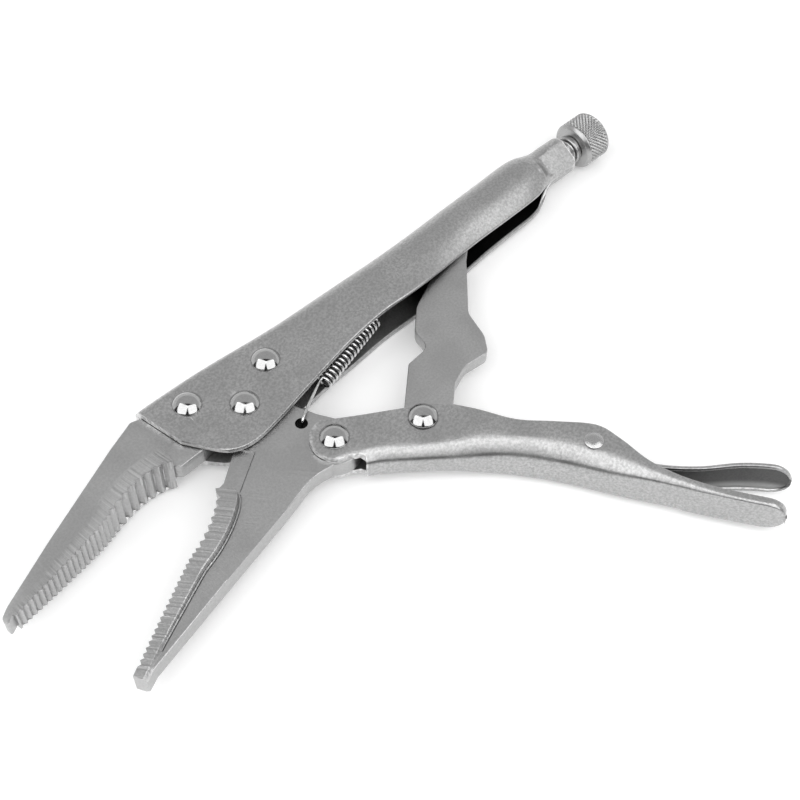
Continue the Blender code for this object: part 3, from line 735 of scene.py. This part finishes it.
LEVER_STATIONS = [
    (46.4, -52.8, 43.6, -55.2, 3.7, 1.6, 3.7, 0.3),
    (51.0, -58.6, 47.2, -61.7, 4.3, 1.8, 4.3, 0.3),
    (57.0, -65.6, 52.3, -68.8, 4.5, 2.0, 4.6, 0.3),
    (60.8, -72.0, 55.8, -75.1, 4.6, 2.0, 4.7, 0.3),
    (62.6, -79.0, 59.8, -80.9, 4.6, 1.9, 4.7, 0.3),
    (66.8, -86.7, 65.3, -88.0, 4.7, 0.9, 4.8, 0.3),
    (72.4, -93.3, 71.35, -94.55, 5.4, 0.6, 5.4, 0.3),
    (79.4, -99.1, 78.4, -100.3, 5.9, 0.5, 5.9, 0.3),
    (84.6, -104.2, 83.45, -105.3, 5.9, 0.5, 5.9, 0.3),
    (87.7, -108.3, 86.5, -109.25, 5.9, 0.5, 5.9, 0.3),
    (88.8, -110.5, 87.5, -111.3, 5.9, 0.5, 5.9, 0.3),
]
# The corner that the far cheek lacks.
FAR_CHEEK_TRIM = [
    (-26.0, 4.5, 0), (-19.9, 4.5, 0), (-16.4, -2.4, 6), (-12.2, -7.4, 6), (-6.0, -9.7, 8),
    (4.0, -8.5, 10), (14.0, -7.0, 0), (14.0, -16.0, 0), (-26.0, -16.0, 0),
]
NECK_START = 119.0
NECK_BLEND = 3.0
NECK_FACET = Vector((0.0, -0.5, 0.866))
NECK_FACET_HEIGHT = 4.5
ROUND_TAIL = 5.3
ROUND_LEVER_TIP = 6.0


def press_neck(spot):
    """Flattens the neck, which was pressed on to the screw, to one facet up and to the open side."""
    beyond = (spot - Vector((0.0, SCREW_Y, 0.0))).dot(NECK_FACET) - NECK_FACET_HEIGHT
    grip = share_between(spot.x, NECK_START, NECK_START + NECK_BLEND)
    return spot - NECK_FACET * max(beyond, 0.0) * grip


def upper_handle(outer, inner):
    sheet = channel(smooth(UPPER_STATIONS, 8), SHEET, gape=2.5, press=press_neck)
    handle = make_object("handle_upper", sheet, outer, inner)
    tab = rounded([(58.4, 7.6, 0.8), (61.6, 7.6, 0.8), (61.6, 13.6, 0), (58.4, 13.6, 0)])
    combine(handle, [
        ("UNION", prism(tab, -SPRING_TAB_HALF, SPRING_TAB_HALF)),
        ("DIFFERENCE", prism(rounded(FAR_CHEEK_TRIM), -2 * CHEEK_HALF, -JAW_HALF)),
        *bores((FRONT_RIVET, RIVET_BORE), (REAR_RIVET, RIVET_BORE), (JAW_PIVOT, RIVET_BORE)),
    ])
    return finish_piece(handle, "upper_handle", "upper_handle")


def lower_handle(outer, inner):
    rows = round_tip(smooth(LOWER_STATIONS, 8), ROUND_TAIL)
    handle = make_object("handle_lower", channel(rows, SHEET, tight=0.42, far=2.4), outer, inner)
    front = rounded([
        (-20.0, -60.0, 0), (-0.5, -49.6, 0), (12.3, -33.1, 0.3), (11.7, -31.8, 0.8), (10.4, -31.1, 1.0),
        *arc(HANDLE_PIVOT, 6.4, 262, 62), (10.5, -8.0, 0), (-20.0, -8.0, 0),
    ])
    combine(handle, [
        ("DIFFERENCE", prism(front, -CUT_HALF, CUT_HALF)),
        *bores((HANDLE_PIVOT, RIVET_BORE), (LINK_PIVOT, RIVET_BORE), (LEVER_PIVOT, PIN_BORE)),
    ])
    return finish_piece(handle, "lower_handle", "lower_handle")


def release_lever(outer, inner):
    rows = round_tip(smooth(LEVER_STATIONS, 8), ROUND_LEVER_TIP)
    lever = make_object("lever_release", channel(rows, LEVER_SHEET, tight=6.0), outer, inner)
    combine(lever, bores((LEVER_PIVOT, PIN_BORE)))
    return finish_piece(lever, "release_lever", "release_lever")


def toggle_link(material):
    outline = rounded([
        *arc(LINK_PIVOT, 5.2, 133, 255), (35.0, -40.6, 4), (43.0, -34.2, 4), (46.4, -31.2, 4),
        (52.0, -29.0, 5), (60.2, -29.9, 2.6), (63.6, -25.2, 6), (66.0, -16.6, 6), (79.6, -2.2, 6),
        *arc(LINK_END, 4.0, -40, 128),
        (69.9, 0.6, 10), (57.0, -5.2, 8), (50.6, -11.2, 4), (49.5, -17.6, 3.2), (41.6, -18.2, 1.0),
    ])
    link = make_object("link_toggle", prism(outline, -LINK_HALF, LINK_HALF, 0.35), material)
    combine(link, bores((LINK_PIVOT, RIVET_BORE)))
    return finish_piece(link, "toggle_link", "toggle_link", 25)


# ---- Rivets, screw and spring ----


def rivet_profile(head, dome, shank, top, tail_radius, tail):
    """A rivet: a dome above top with a tight rolled rim, the shank, and a flat upset tail below -top."""
    ball = (head**2 + dome**2) / (2 * dome)
    widest = math.asin(head / ball)
    points = [(0.0, top + dome)]
    for k in range(1, 17):
        angle = widest * k / 16
        points.append((ball * math.sin(angle), top + dome - ball * (1 - math.cos(angle))))
    rim = 0.12
    points += [(head, top - rim), (head - rim, top - 2 * rim), (shank, top - 2 * rim), (shank, -top)]
    for share, depth in ((1.0, 0.0), (1.0, 0.7), (0.93, 0.9), (0.85, 1.0), (0.0, 1.0)):
        points.append((share * tail_radius, -top - depth * tail))
    return points


def rivet(name, node, body, material, cheek):
    top = cheek + RIVET_GAP
    profile = rivet_profile(RIVET_HEAD, RIVET_DOME, RIVET_SHANK, top, RIVET_TAIL_RADIUS, RIVET_TAIL)
    piece = make_object(name, turned(profile, place(node), 72), material)
    return finish_piece(piece, body, node, 40)


def lever_pin(material):
    top = LEVER_CHEEK_HALF + PIN_GAP
    profile = rivet_profile(PIN_HEAD, PIN_DOME, PIN_SHANK, top, PIN_HEAD, PIN_TAIL)
    piece = make_object("pin_release_lever", turned(profile, LEVER_PIVOT, 56), material)
    return finish_piece(piece, "lower_handle", "release_lever_pin", 40)


def wave(value):
    """A triangle wave from 0 to 1 with period 1."""
    return 1 - abs(2 * (value % 1.0) - 1)


def adjusting_screw(material):
    """The screw: its thread, a narrow groove and the collar in front of the knob."""
    thread_end = COLLAR_START - COLLAR_GROOVE

    def radius_at(height, turn):
        if height > COLLAR_START:
            share = (height - COLLAR_START) / (KNOB_START - 0.3 - COLLAR_START)
            return COLLAR_RADIUS - 0.25 * (1 - min(1.0, 5 * share)) - 0.3 * max(0.0, 4 * share - 3)
        if height > thread_end:
            return THREAD_RADIUS - THREAD_DEPTH
        crest = min(1.0, 1.25 * wave(height / THREAD_PITCH - turn))
        lead = min(1.0, (height - SCREW_TIP) / 1.2)
        return THREAD_RADIUS - THREAD_DEPTH * (1 - crest * lead) - 0.5 * (1 - lead)

    steps = round((thread_end - SCREW_TIP) / THREAD_PITCH * 8)
    heights = [SCREW_TIP + (thread_end - SCREW_TIP) * k / steps for k in range(steps + 1)]
    heights += [thread_end + 0.01, COLLAR_START - 0.01]
    heights += [COLLAR_START + 0.01 + (KNOB_START - 0.32 - COLLAR_START) * k / 12 for k in range(13)]
    screw = make_object("screw_adjusting", carved(radius_at, heights, 64), material)
    return finish_piece(screw, "adjusting_screw", "adjusting_screw", 50)


def adjusting_knob(material):
    """The knob, with rounded rims and a diamond knurl: two sets of ridges that lean opposite ways."""
    length = KNOB_END - KNOB_START

    def radius_at(height, turn):
        end = min(height - KNOB_START, KNOB_END - height)
        if end < KNOB_RIM:
            return KNOB_RADIUS - KNOB_RIM_DROP * (1 - end / KNOB_RIM) ** 1.4
        lean = (height - KNOB_START) * KNURL_RIDGES / (2 * math.pi * KNOB_RADIUS)
        ridge = min(wave(KNURL_RIDGES * turn + lean), wave(KNURL_RIDGES * turn - lean))
        start = min(1.0, (end - KNOB_RIM) / 0.25)
        return KNOB_RADIUS - KNURL_DEPTH * (1 - min(1.0, 1.7 * ridge)) * start

    heights = [KNOB_START + length * k / 72 for k in range(73)]
    knob = make_object("knob_adjusting", carved(radius_at, heights, 360), material)
    return finish_piece(knob, "adjusting_knob", "adjusting_knob", 60)


def spring_route():
    """The spring wire from its hook in the jaw, along the coil, to its loop round the handle's tab."""
    start, end = Vector((*COIL_START, 0.0)), Vector((*COIL_END, 0.0))
    along = (end - start).normalized()
    side, up = Vector((-along.y, along.x, 0.0)), Vector((0.0, 0.0, 1.0))
    top = JAW_HALF + 0.3 + WIRE_RADIUS
    hole = Vector((*SPRING_HOLE, 0.0))
    bends = ((0.4, 0.2, -3.4), (0.2, 0.0, 0.5), (0.4, 0.1, 2.4), (1.2, 0.6, top), (4.0, 2.3, top))
    hook = [hole + Vector(bend) for bend in bends]
    hook.append(start + up * COIL_RADIUS - along * 1.6)
    route = [Vector(spot) for spot in smooth(hook, 6)]
    points = 24
    for k in range(points * COIL_TURNS + 1):
        angle = math.radians(90) + 2 * math.pi * k / points
        centre = start + (end - start) * k / (points * COIL_TURNS)
        route.append(centre + side * COIL_RADIUS * math.cos(angle) + up * COIL_RADIUS * math.sin(angle))
    loop = [(*COIL_END, COIL_RADIUS), (50.5, 5.4, 2.9), (55.6, 8.0, 2.2), (57.2, 9.0, 0.8)]
    loop.append((57.6, 10.0, -1.4))
    return route + [Vector(spot) for spot in smooth(loop, 6)[1:]]


def return_spring(material):
    route = spring_route()
    rings = []
    normal = Vector((1.0, 0.0, 0.0))
    for i, spot in enumerate(route):
        ahead = (route[min(i + 1, len(route) - 1)] - route[max(i - 1, 0)]).normalized()
        normal = (normal - ahead * normal.dot(ahead)).normalized()
        across = ahead.cross(normal)
        rings.append([
            spot + WIRE_RADIUS * (normal * math.cos(k * math.pi / 5) + across * math.sin(k * math.pi / 5))
            for k in range(10)
        ])
    bm, loops = skin(rings)
    bm.faces.new(loops[0])
    bm.faces.new(loops[-1])
    spring = make_object("spring_return", bm, material)
    spring.data.shade_smooth()
    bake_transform(spring)
    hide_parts("return_spring")
    return spring


# ---- Studio ----

# CAMERA_AT is in the design frame. AHEAD is level, and points from the tool to the camera's side of it. The
# softboxes' places and size are in metres.
CAMERA_AT = (-122.1, -180.3, 298.6)
CAMERA_RIGHT = (0.72503, -0.68852, 0.01611)
CAMERA_UP = (0.54775, 0.59066, 0.59253)
CAMERA_LENS = 63.0
AHEAD = (-0.68, -0.733)
FLOOR_HALF = 3000
FLOOR_GLOW = 0.2
SOFTBOX_SIDE = 0.53
SOFTBOX_AHEAD = 0.38
SOFTBOX_UP = 0.77
SOFTBOX_DISTANCE = 1.0
SOFTBOX_SIZE = 1.08
SOFTBOX_POWER = 7.8
SOFTBOX_ROLL = 16
SWEEP_LIGHT = 0.9
SWEEP_TOP = (0.3, 0.42)
ROOM_LIGHT = 0.64
DARK_LIGHT = 0.05
DARK_DIRECTION = (0.993 * AHEAD[0], 0.993 * AHEAD[1], 0.12)


def camera():
    data = bpy.data.cameras.new("camera")
    data.lens = CAMERA_LENS
    data.sensor_width = 36.0
    data.clip_start = 0.01
    view = bpy.data.objects.new("camera", data)
    right, up = Vector(CAMERA_RIGHT).normalized(), Vector(CAMERA_UP).normalized()
    turn = Matrix((right, up, right.cross(up))).transposed().to_4x4()
    view.matrix_world = Matrix.Translation(ORIGIN + MM * Vector(CAMERA_AT)) @ turn
    bpy.context.scene.collection.objects.link(view)
    bpy.context.scene.camera = view


def floor():
    nodes = Nodes("floor_white")
    mottle = nodes.mix(nodes.span(nodes.noise(12), 0.3, 0.7), grey(0.86), grey(0.88))
    nodes.set(Base_Color=mottle, Roughness=0.7)
    material = nodes.set(Emission_Color=grey(1.0), Emission_Strength=FLOOR_GLOW)
    bm = bmesh.new()
    bmesh.ops.create_grid(bm, x_segments=8, y_segments=8, size=FLOOR_HALF)
    low = (CAD_BOX[0][2] - ORIGIN.z) / MM
    for vert in bm.verts:
        vert.co.z = low
    make_object("floor", bm, material)


def softbox(name, direction, roll):
    """A square soft light that looks at the middle of the tool, turned by roll degrees from upright."""
    data = bpy.data.lights.new(name, "AREA")
    data.shape = "SQUARE"
    data.size = SOFTBOX_SIZE
    data.energy = SOFTBOX_POWER
    lamp = bpy.data.objects.new(name, data)
    aim = Vector(direction).normalized()
    middle = (Vector(CAD_BOX[0]) + Vector(CAD_BOX[1])) / 2
    lamp.location = middle + aim * SOFTBOX_DISTANCE
    across = Vector((*AHEAD, 0.0)).cross(Vector((0, 0, 1))).cross(aim).cross(aim).normalized()
    upright = Matrix((across, aim.cross(across), aim)).transposed()
    lamp.rotation_euler = (upright @ Matrix.Rotation(math.radians(roll), 3, "Z")).to_euler()
    bpy.context.scene.collection.objects.link(lamp)


def surroundings():
    """A grey room behind the tool with a paler sweep low down, and dark in front of it."""
    world = bpy.data.worlds.new("studio")
    world.use_nodes = True
    tree = world.node_tree
    tree.nodes.clear()
    coords = tree.nodes.new("ShaderNodeTexCoord")

    def share(direction, low, high):
        dot = tree.nodes.new("ShaderNodeVectorMath")
        dot.operation = "DOT_PRODUCT"
        dot.inputs[1].default_value = direction
        tree.links.new(coords.outputs["Generated"], dot.inputs[0])
        span = tree.nodes.new("ShaderNodeMapRange")
        span.interpolation_type = "SMOOTHSTEP"
        span.inputs["From Min"].default_value = low
        span.inputs["From Max"].default_value = high
        tree.links.new(dot.outputs["Value"], span.inputs["Value"])
        return span.outputs["Result"]

    def mix(factor, first, second):
        node = tree.nodes.new("ShaderNodeMix")
        node.data_type = "RGBA"
        tree.links.new(factor, node.inputs["Factor"])
        for key, value in (("A", first), ("B", second)):
            if isinstance(value, bpy.types.NodeSocket):
                tree.links.new(value, node.inputs[key])
            else:
                node.inputs[key].default_value = value
        return node.outputs["Result"]

    room = mix(share((0.0, 0.0, 1.0), *SWEEP_TOP), grey(SWEEP_LIGHT), grey(ROOM_LIGHT))
    colour = mix(share(DARK_DIRECTION, -0.06, 0.06), room, grey(DARK_LIGHT))
    background = tree.nodes.new("ShaderNodeBackground")
    output = tree.nodes.new("ShaderNodeOutputWorld")
    tree.links.new(colour, background.inputs["Color"])
    tree.links.new(background.outputs[0], output.inputs[0])
    bpy.context.scene.world = world


def studio():
    camera()
    floor()
    surroundings()
    right = Vector((CAMERA_RIGHT[0], CAMERA_RIGHT[1], 0.0)).normalized()
    ahead = Vector((*AHEAD, 0.0))
    for name, side in (("softbox_left", -1), ("softbox_right", 1)):
        centre = right * side * SOFTBOX_SIDE + ahead * SOFTBOX_AHEAD + Vector((0, 0, SOFTBOX_UP))
        softbox(name, centre, side * SOFTBOX_ROLL)
    bpy.context.scene.view_settings.view_transform = "Standard"


def build():
    sheet = metal(
        "plated_sheet_satin", shade=0.515, roughness=0.34, grain=0.00004, grain_size=0.7, contrast=1.0)
    # The upper handle's inside faces: a darker copy of the sheet as painted shade for the hollow, going over
    # to near black deep in the tube along +X, more painted shade.
    inside = metal(
        "plated_sheet_inside_painted_shade", shade=0.42, roughness=0.45, grain=0.00003, grain_size=0.6, contrast=0.7,
        fade=((1.0, 0.0, 0.0), 56.0, 68.0, 0.03))
    # The lower handle's and the lever's inside faces: dark painted shade for the deep trough, easing to a
    # lighter painted shade towards -Z.
    trough = metal(
        "plated_trough_inside_painted_shade", shade=0.13, roughness=0.4, grain=0.00003, grain_size=0.6, contrast=0.5,
        fade=((0.0, 0.0, -1.0), 1.0, 4.2, 0.4))
    # A near-black painted shadow for the wall of the moving jaw's spring hole.
    bore_shadow_paint = metal("bore_wall_painted_shadow", shade=0.03, roughness=0.6, grain=0.00003, grain_size=0.6)
    pin_metal = metal("plated_pin", shade=0.5, roughness=0.26, grain=0.00003, grain_size=0.3)
    link_steel = metal(
        "forged_link_steel", shade=0.49, roughness=0.38, grain=0.00003, grain_size=0.6, contrast=0.5,
        wear_and_highlight=0.0)
    polished = metal("polished_rivet", shade=0.46, roughness=0.1, grain=0.000002, grain_size=0.6)
    plated = metal("plated_screw", shade=0.44, roughness=0.3, grain=0.00002, grain_size=0.3)
    wire = metal("bright_wire", shade=0.52, roughness=0.2, grain=0.000006, grain_size=0.3)
    fixed_steel = ground_steel(
        "forged_fixed_jaw", shade=0.48, roughness=0.36, along=(-0.989, -0.148), inward=(-0.148, 0.989))
    moving_steel = ground_steel(
        "forged_moving_jaw", shade=0.48, roughness=0.36, along=(-0.863, -0.505), inward=(0.505, -0.863))
    fixed_jaw(fixed_steel)
    moving_jaw(moving_steel, bore_shadow_paint)
    upper_handle(sheet, inside)
    lower_handle(sheet, trough)
    release_lever(sheet, trough)
    toggle_link(link_steel)
    rivet("rivet_jaw_front", "jaw_rivet_front", "upper_handle", polished, CHEEK_HALF)
    rivet("rivet_jaw_rear", "jaw_rivet_rear", "upper_handle", polished, CHEEK_HALF)
    rivet("rivet_jaw_pivot", "jaw_pivot_rivet", "upper_handle", polished, CHEEK_HALF)
    rivet("rivet_handle_pivot", "handle_pivot_rivet", "moving_jaw", polished, CHEEK_HALF)
    rivet("rivet_link_pivot", "link_pivot_rivet", "lower_handle", polished, CHEEK_HALF + 0.3)
    lever_pin(pin_metal)
    adjusting_screw(plated)
    adjusting_knob(plated)
    return_spring(wire)


build()
studio()
